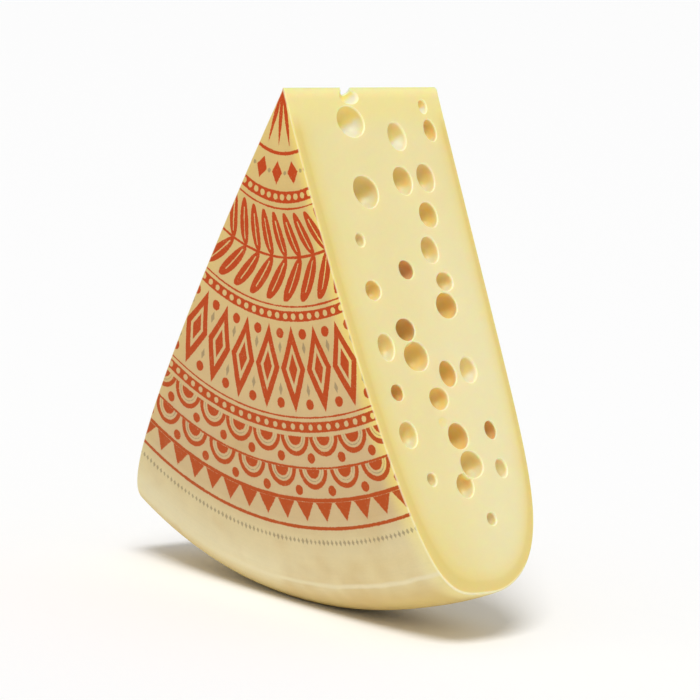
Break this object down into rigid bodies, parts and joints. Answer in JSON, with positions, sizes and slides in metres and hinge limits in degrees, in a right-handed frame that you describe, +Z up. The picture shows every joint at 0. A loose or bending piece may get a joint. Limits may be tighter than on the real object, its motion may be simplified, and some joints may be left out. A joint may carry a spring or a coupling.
{
  "type": "cheese wedge",
  "caption": "Wedge of hard cheese with round eyes, cut from a wheel, standing on its rounded rind with the tip edge on top.",
  "frame": {"origin": "on the resting spot of the rim, right under the middle of the tip edge", "axes": "+Z up to the tip edge, +Y along the wheel's axis from the printed domed face to the plain lying face, +X towards the cut with the listed eyes"},
  "size_m": [0.3988, 0.187, 0.4488],
  "materials": {
    "cheese": "smooth, slightly waxy pale yellow paste on the two cuts and in the eyes; dry tan to cream rind, printed in red-orange on the domed face"
  },
  "bodies": {
    "root": {"cheese_wedge": "cheese"}
  },
  "joints": []
}
